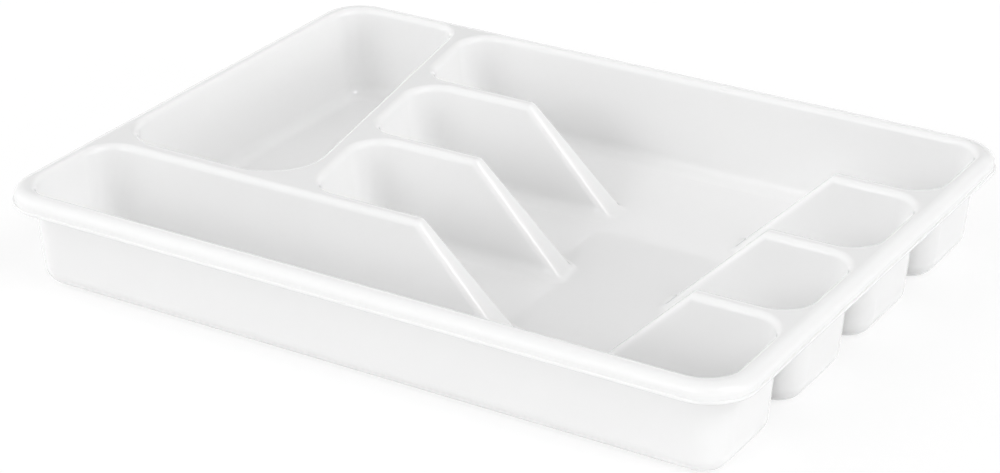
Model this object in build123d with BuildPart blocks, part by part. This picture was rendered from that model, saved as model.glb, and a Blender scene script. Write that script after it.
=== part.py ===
"""A cutlery tray: one thin-walled plastic moulding, kept as named regions that meet face to face.

Millimetres, +Z up. The origin is on the surface the tray stands on, under the middle of its rim.
+X runs along the channels towards the end bays, and +Y runs from the front channel to the back one.
"""
from math import cos, radians, sin, tan
import os

from build123d import *

os.makedirs("parts", exist_ok=True)

# Whole tray
tray_length = 395
tray_width = 303
tray_height = 51.7
wall = 1.5
deck_wall = 2
draft = 5

# Rim: a rolled edge that ends in a small bead
rim_width = 10
rim_corner_radius = 24
roll_drop = 4.7
bead_step = 0.8
bead_height = 1.9
bead_top_round = 0.75
bead_bottom_round = 0.9
rim_depth = 8.7

# Pockets
channel_count = 4
divider_width = 8.3
channel_corner_radius = 16.5
floor_round_radius = 7.5
outer_round_radius = 10
edge_round_radius = 3.5

# Cross compartment at the left, behind the front channel
cross_length = 94.9
cross_slant = 10.7
cross_front_inset = 1.5
cross_divider_width = 9.7
cross_front_left_radius = 24
cross_front_right_radius = 27
cross_back_right_radius = 15

# Dividers: flat tops that end in slopes running down to the common floor
slope_angle = 45
slope_slant = 10.2
long_top_share = 0.383
short_top_share = 0.289
foot_pad_length = 22
foot_pad_height = 6

# Seams between the regions, and the overrun of every cut
seam_margin = 1.5
overrun = 5
quarter_turn = 90
fillet_share = 0.95
mouth_share = 1.4

# Heights and widths that follow
channel_width = (tray_width - 2 * rim_width - (channel_count - 1) * divider_width) / channel_count
pitch = channel_width + divider_width
inner_depth = tray_height - wall
floor_inset = inner_depth * tan(radians(draft))
smallest_corner = min(channel_corner_radius, cross_back_right_radius)
floor_round = min(floor_round_radius, fillet_share * (smallest_corner - floor_inset))
outer_round = min(outer_round_radius, fillet_share * (smallest_corner + wall - floor_inset))
edge_round = min(edge_round_radius, fillet_share * divider_width / 2)
roll_width = rim_width - bead_step - edge_round * tan(radians((quarter_turn - draft) / 2))

# Plan lines at the height of the rim
left = -tray_length / 2 + rim_width
right = tray_length / 2 - rim_width
front = -tray_width / 2 + rim_width
back = tray_width / 2 - rim_width
channel_fronts = [front + index * pitch for index in range(channel_count)]
channel_backs = [start + channel_width for start in channel_fronts]
crests = [end + divider_width / 2 for end in channel_backs[:-1]]


def slanted(x_at_middle, y):
    """The x of a line that leans with the cross compartment, at one y."""
    return x_at_middle - y * tan(radians(cross_slant))


cross_end = left + cross_length
channel_start = cross_end + cross_divider_width / cos(radians(cross_slant))
cross_crest = (cross_end + channel_start) / 2
slope_run = inner_depth / tan(radians(slope_angle))
flat_run = right - channel_start - 2 * slope_run
long_slope_top = channel_start + long_top_share * flat_run
short_slope_top = right - short_top_share * flat_run

channel_plans = [[(left, front), (right, front), (right, channel_backs[0]), (left, channel_backs[0])]]
for near, far in zip(channel_fronts[1:], channel_backs[1:]):
    channel_plans.append(
        [
            (slanted(channel_start, near), near),
            (right, near),
            (right, far),
            (slanted(channel_start, far), far),
        ]
    )
channel_radii = [channel_corner_radius] * 4

cross_front = channel_fronts[1] + cross_front_inset
cross_plan = [
    (left, cross_front),
    (slanted(cross_end, cross_front), cross_front),
    (slanted(cross_end, back), back),
    (left, back),
]
cross_radii = [
    cross_front_left_radius,
    cross_front_right_radius,
    cross_back_right_radius,
    channel_corner_radius,
]


# Seam lines in plan: past every corner arc, past every floor rounding, and along the crests
foot_reach = floor_inset + floor_round + seam_margin
end_reach = max(channel_corner_radius + seam_margin, foot_reach)
slant_reach = channel_corner_radius / tan(radians((quarter_turn - cross_slant) / 2)) + seam_margin
slope_reach = slope_run + floor_round * tan(radians(slope_angle / 2)) + seam_margin
rim_left_seam = left - wall
rim_right_seam = right + wall
rim_front_seam = front - wall
rim_back_seam = back + wall
left_end_seam = left + end_reach
right_end_seam = right - end_reach
cross_seam_at_middle = channel_start + slant_reach
long_foot_at_middle = long_slope_top + slope_reach / cos(radians(cross_slant))
short_foot = short_slope_top - slope_reach
near_seams = [start + foot_reach for start in channel_fronts]
far_seams = [end - foot_reach for end in channel_backs]
mitre = rim_width + overrun


def strip(left_at_middle, left_slant, right_at_middle, right_slant, near, far):
    """An outline between two y lines whose left and right ends may lean."""
    corners = []
    for x_at_middle, leans, y in (
        (left_at_middle, left_slant, near),
        (right_at_middle, right_slant, near),
        (right_at_middle, right_slant, far),
        (left_at_middle, left_slant, far),
    ):
        corners.append((slanted(x_at_middle, y) if leans else x_at_middle, y))
    return corners


def pocket_plan(corners, radii, growth):
    """The outline of a pocket at the height of the rim, or a larger outline around it."""
    with BuildSketch(Plane.XY.offset(tray_height)) as plan:
        with BuildLine():
            Polyline(*corners, close=True)
        make_face()
        for corner, radius in zip(corners, radii):
            fillet(plan.vertices().sort_by_distance((*corner, tray_height))[0], radius)
        if growth:
            offset(amount=growth, mode=Mode.REPLACE)
    return plan.sketch


def pocket_form(corners, radii):
    """The outside of a pocket's walls and floor."""
    with BuildPart() as form:
        extrude(pocket_plan(corners, radii, wall), amount=tray_height, dir=(0, 0, -1), taper=draft)
        fillet(form.edges().group_by(Axis.Z)[0], outer_round)
    return form.part


def pocket_room(corners, radii):
    """The room inside a pocket, opening out over the rounded edge of the deck."""
    with BuildPart() as room:
        extrude(pocket_plan(corners, radii, 0), amount=inner_depth, dir=(0, 0, -1), taper=draft)
        fillet(room.edges().group_by(Axis.Z)[0], floor_round)
        extrude(pocket_plan(corners, radii, mouth_share * edge_round), amount=overrun)
        shoulder = room.faces().filter_by(Plane.XY).filter_by(lambda face: len(face.inner_wires()) > 0)[0]
        fillet(shoulder.inner_wires()[0].edges(), edge_round)
    return room.part


def middle_block(growth, bottom):
    """The open middle between the sloped ends of the dividers, grown through the slopes."""
    slope = radians(slope_angle)
    lean = radians(slope_slant)
    long_normal = Vector(cos(lean) * sin(slope), sin(lean) * sin(slope), cos(slope))
    short_normal = Vector(-sin(slope), 0, cos(slope))
    long_face = Plane(Vector(long_slope_top, 0, tray_height) - long_normal * growth, z_dir=long_normal)
    short_face = Plane(Vector(short_slope_top, 0, tray_height) - short_normal * growth, z_dir=short_normal)
    with BuildPart() as block:
        with BuildSketch(Plane.XY.offset(bottom)):
            with Locations((0, (crests[0] + crests[-1]) / 2)):
                Rectangle(tray_length, crests[-1] - crests[0] + channel_width)
        extrude(amount=tray_height - bottom)
        split(bisect_by=long_face, keep=Keep.TOP)
        split(bisect_by=short_face, keep=Keep.TOP)
    return block.part


def middle_form():
    """The outside of the sloped ends and of the floor between them."""
    with BuildPart() as form:
        add(middle_block(deck_wall, 0))
        feet = form.edges().group_by(Axis.Z)[0].filter_by(Axis.X, reverse=True)
        fillet(feet, floor_round + wall)
    return form.part


def foot_pads():
    """Solid feet under the sloped ends of the dividers, where the hollow inside would run too thin."""
    with BuildPart() as pads:
        for far, near in zip(far_seams[:-1], near_seams[1:]):
            for outline in (
                strip(long_foot_at_middle - foot_pad_length, True, long_foot_at_middle, True, far, near),
                strip(short_foot, False, short_foot + foot_pad_length, False, far, near),
            ):
                with BuildSketch():
                    with BuildLine():
                        Polyline(*outline, close=True)
                    make_face()
                extrude(amount=foot_pad_height)
    return pads.part


def is_slope_edge(edge):
    """Whether an edge of the common room runs down beside a slope."""
    box = edge.bounding_box()
    run = max(box.size.X, box.size.Y)
    return box.size.Z > inner_depth / 2 and run > box.size.Z / 2


def is_deck_edge(edge):
    """Whether an edge of the common room is level with the deck and inside the rim."""
    box = edge.bounding_box()
    level = box.size.Z < seam_margin and abs(box.center().Z - tray_height) < seam_margin
    inside_x = abs(edge.center().X) < tray_length / 2 - seam_margin
    inside_y = abs(edge.center().Y) < tray_width / 2 - seam_margin
    return level and inside_x and inside_y


def common_room():
    """The room of the channels and the open middle, with its deck edges, slope edges and floor rounded."""
    with BuildPart() as room:
        for plan_corners in channel_plans:
            extrude(pocket_plan(plan_corners, channel_radii, 0), amount=inner_depth, dir=(0, 0, -1), taper=draft)
        add(middle_block(0, wall))
        with BuildSketch(Plane.XY.offset(tray_height)):
            Rectangle(tray_length, tray_width)
        extrude(amount=overrun)
        slope_edges = [edge for edge in room.edges() if is_slope_edge(edge)]
        deck_edges = [edge for edge in room.edges() if is_deck_edge(edge)]
        fillet(deck_edges + slope_edges, edge_round)
        fillet(room.edges().group_by(Axis.Z)[0], floor_round)
    return room.part


def rim_profile():
    """The rolled section of the rim, drawn at the middle of the right side."""
    edge = tray_length / 2
    roll_edge = edge - bead_step
    roll_start = roll_edge - roll_width
    roll_bottom = tray_height - roll_drop
    lip_bottom = tray_height - rim_depth
    bead_top = lip_bottom + bead_height
    with BuildSketch(Plane.XZ) as section:
        with BuildLine():
            Line((roll_start, tray_height - deck_wall), (roll_start, tray_height))
            EllipticalCenterArc((roll_start, roll_bottom), roll_width, roll_drop, 0, arc_size=quarter_turn)
            Line((roll_edge, roll_bottom), (roll_edge, bead_top))
            Line((roll_edge, bead_top), (edge, bead_top))
            Line((edge, bead_top), (edge, lip_bottom))
            Line((edge, lip_bottom), (roll_edge - wall, lip_bottom))
            Line((roll_edge - wall, lip_bottom), (roll_edge - wall, roll_bottom))
            EllipticalCenterArc((roll_start, roll_bottom), roll_width - wall, roll_drop - deck_wall, 0, arc_size=quarter_turn)
        make_face()
        fillet(section.vertices().group_by(Axis.X)[-1].sort_by(Axis.Y)[0], bead_bottom_round)
        fillet(section.vertices().group_by(Axis.X)[-1].sort_by(Axis.Y)[-1], bead_top_round)
    return section.sketch


with BuildPart() as rim:
    with BuildLine(Plane.XY.offset(tray_height)) as rim_path:
        Polyline(
            (tray_length / 2, 0),
            (tray_length / 2, tray_width / 2),
            (-tray_length / 2, tray_width / 2),
            (-tray_length / 2, -tray_width / 2),
            (tray_length / 2, -tray_width / 2),
            (tray_length / 2, 0),
        )
        fillet(rim_path.vertices().group_by(Axis.Y)[0], rim_corner_radius)
        fillet(rim_path.vertices().group_by(Axis.Y)[-1], rim_corner_radius)
    sweep(sections=rim_profile(), path=rim_path.wires()[0])


with BuildPart() as moulding:
    with BuildSketch(Plane.XY.offset(tray_height - deck_wall)):
        RectangleRounded(
            tray_length - 2 * (bead_step + roll_width),
            tray_width - 2 * (bead_step + roll_width),
            rim_corner_radius - bead_step - roll_width,
        )
    extrude(amount=deck_wall)
    add(rim.part)
    for plan_corners in channel_plans:
        add(pocket_form(plan_corners, channel_radii))
    add(pocket_form(cross_plan, cross_radii))
    add(middle_form())
    add(foot_pads())
    add(common_room(), mode=Mode.SUBTRACT)
    add(pocket_room(cross_plan, cross_radii), mode=Mode.SUBTRACT)


def region(*outlines):
    """The part of the moulding that stands on one or more outlines in plan."""
    with BuildPart() as piece:
        with BuildSketch(Plane.XY.offset(-overrun)):
            for outline in outlines:
                with BuildLine():
                    Polyline(*outline, close=True)
                make_face()
        extrude(amount=tray_height + 2 * overrun)
        add(moulding.part, mode=Mode.INTERSECT)
    return piece.part


def finish(piece, name):
    """Name a finished region and save it."""
    piece.label = name
    export_step(piece, f"parts/{name}.step")


front_left = (rim_left_seam, rim_front_seam)
front_right = (rim_right_seam, rim_front_seam)
back_left = (rim_left_seam, rim_back_seam)
back_right = (rim_right_seam, rim_back_seam)
outer_front_left = (rim_left_seam - mitre, rim_front_seam - mitre)
outer_front_right = (rim_right_seam + mitre, rim_front_seam - mitre)
outer_back_left = (rim_left_seam - mitre, rim_back_seam + mitre)
outer_back_right = (rim_right_seam + mitre, rim_back_seam + mitre)

# Rim
with BuildPart() as rim_front:
    add(region((front_left, front_right, outer_front_right, outer_front_left)))
finish(rim_front.part, "rim_front")

with BuildPart() as rim_back:
    add(region((back_left, back_right, outer_back_right, outer_back_left)))
finish(rim_back.part, "rim_back")

with BuildPart() as rim_left:
    add(region((front_left, back_left, outer_back_left, outer_front_left)))
finish(rim_left.part, "rim_left")

with BuildPart() as rim_right:
    add(region((front_right, back_right, outer_back_right, outer_front_right)))
finish(rim_right.part, "rim_right")

# Long walls
with BuildPart() as front_wall:
    add(region(strip(left_end_seam, False, right_end_seam, False, rim_front_seam, near_seams[0])))
finish(front_wall.part, "front_wall")

with BuildPart() as back_wall:
    add(region(strip(cross_seam_at_middle, True, right_end_seam, False, far_seams[-1], rim_back_seam)))
finish(back_wall.part, "back_wall")

# Common floor, with a finger along every channel
with BuildPart() as floor_plate:
    floor_outlines = [strip(left_end_seam, False, right_end_seam, False, near_seams[0], far_seams[0])]
    for near, far in zip(near_seams[1:], far_seams[1:]):
        floor_outlines.append(strip(cross_seam_at_middle, True, right_end_seam, False, near, far))
    for near, far in zip(far_seams[:-1], near_seams[1:]):
        floor_outlines.append(strip(long_foot_at_middle, True, short_foot, False, near, far))
    add(region(*floor_outlines))
finish(floor_plate.part, "floor")

# Cross compartment
with BuildPart() as cross_compartment:
    add(region(strip(rim_left_seam, False, cross_crest, True, crests[0], rim_back_seam)))
finish(cross_compartment.part, "cross_compartment")

# Left ends of the channels
with BuildPart() as front_channel_end:
    add(region(strip(rim_left_seam, False, left_end_seam, False, rim_front_seam, crests[0])))
finish(front_channel_end.part, "channel_end_1")

for index, (near, far) in enumerate(zip(crests, crests[1:] + [rim_back_seam])):
    with BuildPart() as channel_end:
        add(region(strip(cross_crest, True, cross_seam_at_middle, True, near, far)))
    finish(channel_end.part, f"channel_end_{index + 2}")

# Long dividers
for index, (near, far) in enumerate(zip(far_seams[:-1], near_seams[1:])):
    with BuildPart() as long_divider:
        divider_outlines = [strip(cross_seam_at_middle, True, long_foot_at_middle, True, near, far)]
        if index == 0:
            divider_outlines.append(strip(left_end_seam, False, cross_seam_at_middle, True, near, crests[0]))
        add(region(*divider_outlines))
    finish(long_divider.part, f"long_divider_{index + 1}")

# Short dividers
for index, (near, far) in enumerate(zip(far_seams[:-1], near_seams[1:])):
    with BuildPart() as short_divider:
        add(region(strip(short_foot, False, right_end_seam, False, near, far)))
    finish(short_divider.part, f"short_divider_{index + 1}")

# Right ends of the channels
for index, (near, far) in enumerate(zip([rim_front_seam] + crests, crests + [rim_back_seam])):
    with BuildPart() as end_bay:
        add(region(strip(right_end_seam, False, rim_right_seam, False, near, far)))
    finish(end_bay.part, f"end_bay_{index + 1}")
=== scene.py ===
"""Dresses a moulded cutlery tray and sets it on a pale studio stage.

Everything is in metres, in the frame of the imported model: +Z up, the origin under the
middle of the rim on the surface the tray stands on, +X along the channels.
"""
from math import cos, radians, sin

import bpy
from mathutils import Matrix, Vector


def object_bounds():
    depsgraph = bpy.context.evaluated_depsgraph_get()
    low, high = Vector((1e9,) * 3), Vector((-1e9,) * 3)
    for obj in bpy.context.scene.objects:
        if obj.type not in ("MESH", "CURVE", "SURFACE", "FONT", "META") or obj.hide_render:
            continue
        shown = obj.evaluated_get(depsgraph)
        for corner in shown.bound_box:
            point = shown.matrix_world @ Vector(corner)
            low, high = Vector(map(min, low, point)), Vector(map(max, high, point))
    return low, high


bl_info = {
    "name": "Cutlery tray dresser",
    "version": (1, 0, 0),
    "blender": (4, 5, 0),
    "location": "3D View > Sidebar > Tray",
    "description": "Gives a moulded cutlery tray its glossy plastic finish and a studio stage",
    "category": "Object",
}

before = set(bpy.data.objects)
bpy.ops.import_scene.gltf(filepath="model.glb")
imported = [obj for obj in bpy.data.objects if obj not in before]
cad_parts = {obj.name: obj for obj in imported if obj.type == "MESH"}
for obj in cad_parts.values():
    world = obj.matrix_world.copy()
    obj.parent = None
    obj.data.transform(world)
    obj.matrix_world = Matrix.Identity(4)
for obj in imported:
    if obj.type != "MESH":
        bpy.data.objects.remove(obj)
CAD_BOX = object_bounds()

RIM_NODES = ("rim_front", "rim_back", "rim_left", "rim_right")
WALL_NODES = ("front_wall", "back_wall")
FLOOR_NODES = ("floor",)
CROSS_NODES = ("cross_compartment",)
CHANNEL_END_NODES = ("channel_end_1", "channel_end_2", "channel_end_3", "channel_end_4")
LONG_DIVIDER_NODES = ("long_divider_1", "long_divider_2", "long_divider_3")
SHORT_DIVIDER_NODES = ("short_divider_1", "short_divider_2", "short_divider_3")
END_BAY_NODES = ("end_bay_1", "end_bay_2", "end_bay_3", "end_bay_4")

# Finish of the plastic: patterns as scale and detail
PLASTIC_IOR = 1.49
ROUGHNESS_SPREAD = 0.15
DRIFT_PATTERN = (14.0, 3.0)
POLISH_PATTERN = (60.0, 4.0)
RIPPLE_PATTERN = (220.0, 2.0)

# Soft lights around the tray: strength, tightness, then azimuth from +X and height
# above the horizon, both in degrees
SOFT_LIGHTS = (
    (7.12, 46.0, 1.8, 13.0),
    (5.38, 46.0, 258.3, 24.4),
    (1.74, 3.4, 202.9, 16.2),
    (7.94, 46.0, 347.1, 47.5),
    (1.18, 12.0, 74.0, 37.2),
)
WHITE = (1.0, 1.0, 1.0, 1.0)

# The plain white mixed into the floor, a little over 1 to make up for the card's own grey
FLOOR_WHITE_LEVEL = 1.04
FLOOR_GAP = 0.0001

# The white backdrop that reflections see, full up to the lower height and gone at the upper one
BACKDROP_FULL_DEGREES = 14.0
BACKDROP_TOP_DEGREES = 20.0

CAMERA_PLACE = (0.6373, -1.0619, 0.6079)
CAMERA_TURN_DEGREES = (64.379, 0.0, 31.203)
CAMERA_LENS_MM = 100.915
SENSOR_WIDTH_MM = 36.0
CAMERA_NEAREST = 0.05
CAMERA_FARTHEST = 50.0


class TrayFinish(bpy.types.PropertyGroup):
    """The moulded plastic of the tray."""

    plastic_colour: bpy.props.FloatVectorProperty(
        name="Plastic colour",
        description="Colour of the white plastic",
        subtype="COLOR",
        size=3,
        min=0.0,
        max=1.0,
        default=(0.9, 0.9, 0.9),
    )
    colour_drift: bpy.props.FloatProperty(
        name="Colour drift",
        description="How much the white varies over the moulding",
        subtype="FACTOR",
        min=0.0,
        max=0.2,
        default=0.012,
    )
    gloss_roughness: bpy.props.FloatProperty(
        name="Gloss roughness",
        description="Roughness of the polished surface",
        subtype="FACTOR",
        min=0.0,
        max=1.0,
        default=0.08,
    )
    ripple_height: bpy.props.FloatProperty(
        name="Ripple height",
        description="Height of the faint waviness of the moulded surface",
        unit="LENGTH",
        min=0.0,
        max=0.001,
        default=0.00002,
        precision=6,
    )


class TrayStage(bpy.types.PropertyGroup):
    """The floor and the light around the tray."""

    floor_colour: bpy.props.FloatVectorProperty(
        name="Floor colour",
        description="Colour of the floor under the tray",
        subtype="COLOR",
        size=3,
        min=0.0,
        max=1.0,
        default=(0.95, 0.95, 0.95),
    )
    floor_white: bpy.props.FloatProperty(
        name="Floor white",
        description="Share of plain white in the floor that the camera sees",
        subtype="FACTOR",
        min=0.0,
        max=1.0,
        default=0.75,
    )
    light_strength: bpy.props.FloatProperty(
        name="Light strength",
        description="Strength of all the soft lights together",
        min=0.0,
        max=4.0,
        default=1.0,
    )
    fill_light: bpy.props.FloatProperty(
        name="Fill light",
        description="Strength of the even light from all around",
        min=0.0,
        max=2.0,
        default=0.13,
    )
    floor_size: bpy.props.FloatProperty(
        name="Floor size",
        description="Width of the floor",
        unit="LENGTH",
        min=1.0,
        max=40.0,
        default=12.0,
    )


def node(tree, kind, **values):
    """A new shader node with some of its settings."""
    made = tree.nodes.new(kind)
    for name, value in values.items():
        setattr(made, name, value)
    return made


def math_node(tree, operation, *values):
    """The result of a math node fed by sockets or numbers."""
    made = node(tree, "ShaderNodeMath", operation=operation)
    for index, value in enumerate(values):
        if isinstance(value, (int, float)):
            made.inputs[index].default_value = value
        else:
            tree.links.new(value, made.inputs[index])
    return made.outputs[0]


def noise(tree, place, pattern):
    """A noise pattern fixed to the piece, given by its scale and detail."""
    made = node(tree, "ShaderNodeTexNoise")
    made.inputs["Scale"].default_value = pattern[0]
    made.inputs["Detail"].default_value = pattern[1]
    tree.links.new(place.outputs["Object"], made.inputs["Vector"])
    return made.outputs["Fac"]


def moulded_plastic():
    """The glossy white plastic, made once and shared by every piece."""
    finish = bpy.context.scene.tray_finish
    name = "glossy white plastic"
    if name in bpy.data.materials:
        return bpy.data.materials[name]
    material = bpy.data.materials.new(name)
    material.use_nodes = True
    tree = material.node_tree
    tree.nodes.clear()
    output = node(tree, "ShaderNodeOutputMaterial")
    shader = node(tree, "ShaderNodeBsdfPrincipled")
    tree.links.new(shader.outputs["BSDF"], output.inputs["Surface"])
    shader.inputs["IOR"].default_value = PLASTIC_IOR
    place = node(tree, "ShaderNodeTexCoord")

    tint = node(tree, "ShaderNodeMix", data_type="RGBA")
    shade = [channel * (1.0 - finish.colour_drift) for channel in finish.plastic_colour]
    tint.inputs["A"].default_value = (*shade, 1.0)
    tint.inputs["B"].default_value = (*finish.plastic_colour, 1.0)
    tree.links.new(noise(tree, place, DRIFT_PATTERN), tint.inputs["Factor"])
    tree.links.new(tint.outputs["Result"], shader.inputs["Base Color"])

    spread = node(tree, "ShaderNodeMapRange")
    spread.inputs["To Min"].default_value = finish.gloss_roughness * (1.0 - ROUGHNESS_SPREAD)
    spread.inputs["To Max"].default_value = finish.gloss_roughness * (1.0 + ROUGHNESS_SPREAD)
    tree.links.new(noise(tree, place, POLISH_PATTERN), spread.inputs["Value"])
    tree.links.new(spread.outputs["Result"], shader.inputs["Roughness"])

    bump = node(tree, "ShaderNodeBump")
    bump.inputs["Strength"].default_value = 1.0
    bump.inputs["Distance"].default_value = finish.ripple_height
    tree.links.new(noise(tree, place, RIPPLE_PATTERN), bump.inputs["Height"])
    tree.links.new(bump.outputs["Normal"], shader.inputs["Normal"])
    return material


def dress(names):
    """Gives CAD nodes their plastic."""
    material = moulded_plastic()
    for name in names:
        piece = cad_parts[name]
        if not piece.material_slots:
            piece.data.materials.append(material)
        for slot in piece.material_slots:
            slot.material = material


class TRAY_OT_dress_rim(bpy.types.Operator):
    """Finish the rolled rim"""

    bl_idname = "tray.dress_rim"
    bl_label = "Rim"

    def execute(self, context):
        dress(RIM_NODES)
        return {"FINISHED"}


class TRAY_OT_dress_walls(bpy.types.Operator):
    """Finish the long walls"""

    bl_idname = "tray.dress_walls"
    bl_label = "Long walls"

    def execute(self, context):
        dress(WALL_NODES)
        return {"FINISHED"}


class TRAY_OT_dress_floor(bpy.types.Operator):
    """Finish the common floor"""

    bl_idname = "tray.dress_floor"
    bl_label = "Floor"

    def execute(self, context):
        dress(FLOOR_NODES)
        return {"FINISHED"}


class TRAY_OT_dress_cross_compartment(bpy.types.Operator):
    """Finish the cross compartment"""

    bl_idname = "tray.dress_cross_compartment"
    bl_label = "Cross compartment"

    def execute(self, context):
        dress(CROSS_NODES)
        return {"FINISHED"}


class TRAY_OT_dress_channel_ends(bpy.types.Operator):
    """Finish the left ends of the channels"""

    bl_idname = "tray.dress_channel_ends"
    bl_label = "Channel ends"

    def execute(self, context):
        dress(CHANNEL_END_NODES)
        return {"FINISHED"}


class TRAY_OT_dress_long_dividers(bpy.types.Operator):
    """Finish the long dividers"""

    bl_idname = "tray.dress_long_dividers"
    bl_label = "Long dividers"

    def execute(self, context):
        dress(LONG_DIVIDER_NODES)
        return {"FINISHED"}


class TRAY_OT_dress_short_dividers(bpy.types.Operator):
    """Finish the short dividers"""

    bl_idname = "tray.dress_short_dividers"
    bl_label = "Short dividers"

    def execute(self, context):
        dress(SHORT_DIVIDER_NODES)
        return {"FINISHED"}


class TRAY_OT_dress_end_bays(bpy.types.Operator):
    """Finish the end bays"""

    bl_idname = "tray.dress_end_bays"
    bl_label = "End bays"

    def execute(self, context):
        dress(END_BAY_NODES)
        return {"FINISHED"}


def seen_rays(tree):
    """Two sockets that are one for rays from the camera, and for mirrored and transmitted rays."""
    path = node(tree, "ShaderNodeLightPath")
    glossy = path.outputs["Is Glossy Ray"]
    transmitted = path.outputs["Is Transmission Ray"]
    return path.outputs["Is Camera Ray"], math_node(tree, "MAXIMUM", glossy, transmitted)


def mix_into_output(tree, output, share, plain, white):
    """Mixes two shaders by a share of the second one and gives the result to an output."""
    choose = node(tree, "ShaderNodeMixShader")
    tree.links.new(share, choose.inputs["Fac"])
    tree.links.new(plain.outputs[0], choose.inputs[1])
    tree.links.new(white.outputs[0], choose.inputs[2])
    tree.links.new(choose.outputs["Shader"], output.inputs["Surface"])


def floor_material(colour, white_share):
    """Pale matt card, which the camera and the reflections see nearly white."""
    material = bpy.data.materials.new("pale card")
    material.use_nodes = True
    tree = material.node_tree
    tree.nodes.clear()
    output = node(tree, "ShaderNodeOutputMaterial")
    card = node(tree, "ShaderNodeBsdfDiffuse")
    card.inputs["Color"].default_value = (*colour, 1.0)
    white = node(tree, "ShaderNodeEmission")
    white.inputs["Color"].default_value = WHITE
    white.inputs["Strength"].default_value = FLOOR_WHITE_LEVEL
    camera, mirrored = seen_rays(tree)
    seen = math_node(tree, "MAXIMUM", camera, mirrored)
    share = math_node(tree, "MULTIPLY", seen, white_share)
    mix_into_output(tree, output, share, card, white)
    return material


def soft_light(tree, view, strength, tightness, azimuth, height):
    """One soft light of the surroundings, brightest in one direction and fading around it."""
    level = cos(radians(height))
    aim = node(tree, "ShaderNodeVectorMath", operation="DOT_PRODUCT")
    tree.links.new(view, aim.inputs[0])
    aim.inputs[1].default_value = (
        level * cos(radians(azimuth)),
        level * sin(radians(azimuth)),
        sin(radians(height)),
    )
    away = math_node(tree, "SUBTRACT", aim.outputs["Value"], 1.0)
    spread = math_node(tree, "EXPONENT", math_node(tree, "MULTIPLY", away, tightness))
    return math_node(tree, "MULTIPLY", spread, strength)


def surround_world(strength, fill):
    """Soft lights over an even fill, and white for the camera.

    Reflections see a white backdrop low down, all around the tray.
    """
    world = bpy.data.worlds.new("soft lights")
    world.use_nodes = True
    tree = world.node_tree
    tree.nodes.clear()
    output = node(tree, "ShaderNodeOutputWorld")
    view = node(tree, "ShaderNodeTexCoord").outputs["Generated"]
    total = fill
    for peak, tightness, azimuth, height in SOFT_LIGHTS:
        glow = soft_light(tree, view, peak * strength, tightness, azimuth, height)
        total = math_node(tree, "ADD", glow, total)

    upward = node(tree, "ShaderNodeSeparateXYZ")
    tree.links.new(view, upward.inputs["Vector"])
    backdrop = node(tree, "ShaderNodeMapRange")
    backdrop.inputs["From Min"].default_value = sin(radians(BACKDROP_TOP_DEGREES))
    backdrop.inputs["From Max"].default_value = sin(radians(BACKDROP_FULL_DEGREES))
    tree.links.new(upward.outputs["Z"], backdrop.inputs["Value"])
    camera, mirrored = seen_rays(tree)
    reflected = math_node(tree, "MULTIPLY", backdrop.outputs["Result"], mirrored)

    light = node(tree, "ShaderNodeBackground")
    light.inputs["Color"].default_value = WHITE
    tree.links.new(math_node(tree, "MAXIMUM", total, reflected), light.inputs["Strength"])
    white = node(tree, "ShaderNodeBackground")
    white.inputs["Color"].default_value = WHITE
    white.inputs["Strength"].default_value = 1.0
    mix_into_output(tree, output, camera, light, white)
    return world


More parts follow.
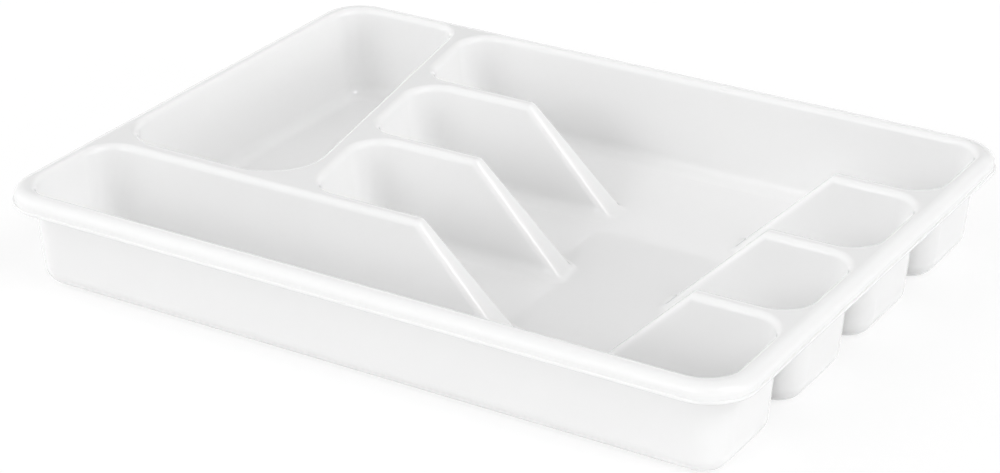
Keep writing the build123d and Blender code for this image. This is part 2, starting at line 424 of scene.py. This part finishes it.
class TRAY_OT_set_stage(bpy.types.Operator):
    """Set the floor, the soft lights and the camera"""

    bl_idname = "tray.set_stage"
    bl_label = "Stage"

    def execute(self, context):
        scene = context.scene
        stage = scene.tray_stage
        half = stage.floor_size / 2
        mesh = bpy.data.meshes.new("studio_floor")
        corners = [(-half, -half, 0.0), (half, -half, 0.0), (half, half, 0.0), (-half, half, 0.0)]
        mesh.from_pydata(corners, [], [(0, 1, 2, 3)])
        floor = bpy.data.objects.new("studio_floor", mesh)
        floor.location = (0.0, 0.0, CAD_BOX[0][2] - FLOOR_GAP)
        scene.collection.objects.link(floor)
        mesh.materials.append(floor_material(stage.floor_colour, stage.floor_white))

        scene.world = surround_world(stage.light_strength, stage.fill_light)

        camera = bpy.data.cameras.new("photo_camera")
        camera.sensor_fit = "HORIZONTAL"
        camera.sensor_width = SENSOR_WIDTH_MM
        camera.lens = CAMERA_LENS_MM
        camera.clip_start = CAMERA_NEAREST
        camera.clip_end = CAMERA_FARTHEST
        seer = bpy.data.objects.new("photo_camera", camera)
        seer.location = CAMERA_PLACE
        seer.rotation_euler = [radians(turn) for turn in CAMERA_TURN_DEGREES]
        scene.collection.objects.link(seer)
        scene.camera = seer
        scene.view_settings.view_transform = "Standard"
        return {"FINISHED"}


TRAY_OPERATORS = (
    TRAY_OT_dress_rim,
    TRAY_OT_dress_walls,
    TRAY_OT_dress_floor,
    TRAY_OT_dress_cross_compartment,
    TRAY_OT_dress_channel_ends,
    TRAY_OT_dress_long_dividers,
    TRAY_OT_dress_short_dividers,
    TRAY_OT_dress_end_bays,
    TRAY_OT_set_stage,
)


class TRAY_PT_panel(bpy.types.Panel):
    """The tray's sidebar panel"""

    bl_idname = "TRAY_PT_panel"
    bl_label = "Cutlery tray"
    bl_space_type = "VIEW_3D"
    bl_region_type = "UI"
    bl_category = "Tray"

    def draw(self, context):
        layout = self.layout
        for group in (context.scene.tray_finish, context.scene.tray_stage):
            box = layout.box()
            for name in group.__annotations__:
                box.prop(group, name)
        for operator in TRAY_OPERATORS:
            layout.operator(operator.bl_idname)


CLASSES = (TrayFinish, TrayStage, *TRAY_OPERATORS, TRAY_PT_panel)


def register():
    for made in CLASSES:
        bpy.utils.register_class(made)
    bpy.types.Scene.tray_finish = bpy.props.PointerProperty(type=TrayFinish)
    bpy.types.Scene.tray_stage = bpy.props.PointerProperty(type=TrayStage)


def unregister():
    del bpy.types.Scene.tray_stage
    del bpy.types.Scene.tray_finish
    for made in reversed(CLASSES):
        bpy.utils.unregister_class(made)


def main():
    register()
    bpy.ops.tray.dress_rim()
    bpy.ops.tray.dress_walls()
    bpy.ops.tray.dress_floor()
    bpy.ops.tray.dress_cross_compartment()
    bpy.ops.tray.dress_channel_ends()
    bpy.ops.tray.dress_long_dividers()
    bpy.ops.tray.dress_short_dividers()
    bpy.ops.tray.dress_end_bays()
    bpy.ops.tray.set_stage()


if __name__ == "__main__":
    main()
